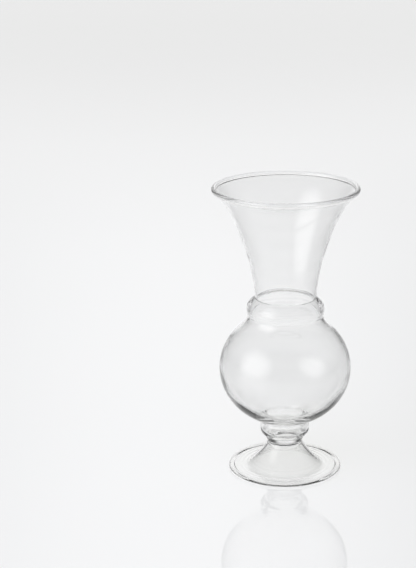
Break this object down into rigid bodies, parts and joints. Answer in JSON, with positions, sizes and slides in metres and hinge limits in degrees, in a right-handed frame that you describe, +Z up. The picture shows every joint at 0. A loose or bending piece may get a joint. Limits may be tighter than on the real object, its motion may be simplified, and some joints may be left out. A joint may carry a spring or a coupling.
{
  "type": "trumpet vase",
  "caption": "Clear glass trumpet vase: flared mouth on a ringed neck, round hollow body, small hollow knop and a blown bell foot.",
  "frame": {"origin": "on the vase's axis, at the level of the surface that the foot stands on", "axes": "+Z up along the axis, from the foot to the mouth; the vase is the same all round, so +X and +Y are free"},
  "size_m": [0.0898, 0.0898, 0.1809],
  "materials": {
    "glass": "clear, fire-polished"
  },
  "bodies": {
    "root": {"foot": "glass", "knop": "glass", "body": "glass", "neck_collar": "glass", "trumpet": "glass"}
  },
  "joints": []
}
